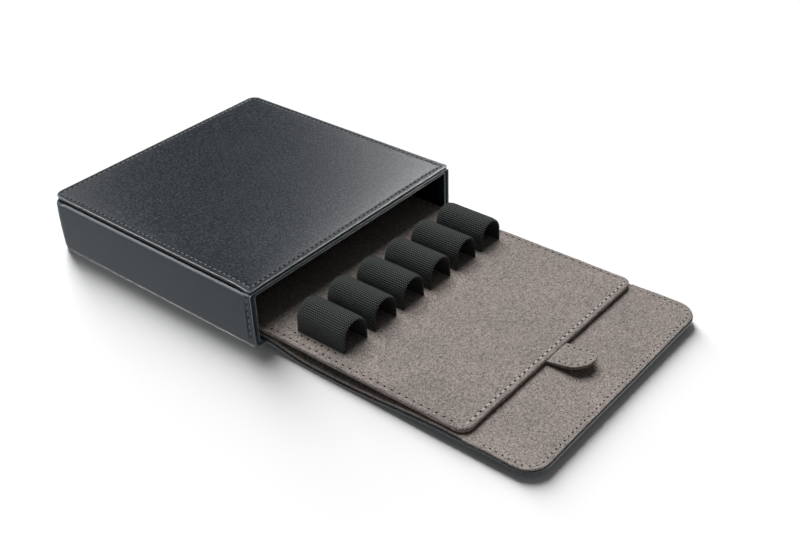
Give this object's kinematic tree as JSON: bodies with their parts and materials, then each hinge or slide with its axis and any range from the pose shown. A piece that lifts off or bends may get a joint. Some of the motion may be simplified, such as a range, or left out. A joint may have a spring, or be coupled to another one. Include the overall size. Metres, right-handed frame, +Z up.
{
  "type": "pen case",
  "caption": "Leather pen case: a stiff sleeve open at one end, with a slide-out suede tray of elastic pen loops, a pull tab and a front flap that folds up to close the mouth.",
  "frame": {"origin": "centre of the sleeve's bottom face, which stands on the table", "axes": "+Z up, +Y from the mouth to the back of the sleeve, so the tray slides out along -Y"},
  "size_m": [0.1526, 0.3082, 0.0335],
  "materials": {
    "grained_leather": "fine grain, satin, charcoal",
    "smooth_leather": "smooth, satin, slate",
    "suede": "taupe suede nap",
    "board": "grey board",
    "lining": "black woven lining",
    "elastic": "ribbed elastic, charcoal",
    "magnet": "plated bar magnet"
  },
  "bodies": {
    "sleeve": {"bottom_leather": "grained_leather", "bottom_board": "board", "left_board": "board", "right_board": "board", "back_board": "board", "top_board": "board", "top_leather": "grained_leather", "side_leather": "smooth_leather", "bottom_lining": "lining", "side_lining": "lining", "top_lining": "lining", "mouth_rim": "smooth_leather", "sleeve_magnets": "magnet"},
    "tray": {"base_leather": "grained_leather", "base_suede": "suede", "tray_bottom_suede": "suede", "tray_board": "board", "tray_top_suede": "suede", "elastic_loop_1": "elastic", "elastic_loop_2": "elastic", "elastic_loop_3": "elastic", "elastic_loop_4": "elastic", "elastic_loop_5": "elastic", "elastic_loop_6": "elastic"},
    "flap": {"flap_leather": "grained_leather", "flap_board": "board", "flap_suede": "suede", "flap_magnets": "magnet"},
    "tab": {"pull_tab_back": "suede", "pull_tab_top": "suede"}
  },
  "joints": [
    {"name": "tray_slide", "type": "slide", "parent": "sleeve", "child": "tray", "axis": [0, 1, 0], "range_m": [-0.02, 0.1228]},
    {"name": "flap_fold", "type": "hinge", "parent": "tray", "child": "flap", "pos_m": [0, -0.19895, 0.006], "axis": [-1, 0, 0], "range_deg": [0, 90]},
    {"name": "tab_bend", "type": "hinge", "parent": "tray", "child": "tab", "pos_m": [0, -0.1961, 0.0085], "axis": [-1, 0, 0], "range_deg": [0, 78.3]}
  ],
  "couplings": [
    {"joint": "tab_bend", "follows": "flap_fold", "ratio": 0.87}
  ]
}
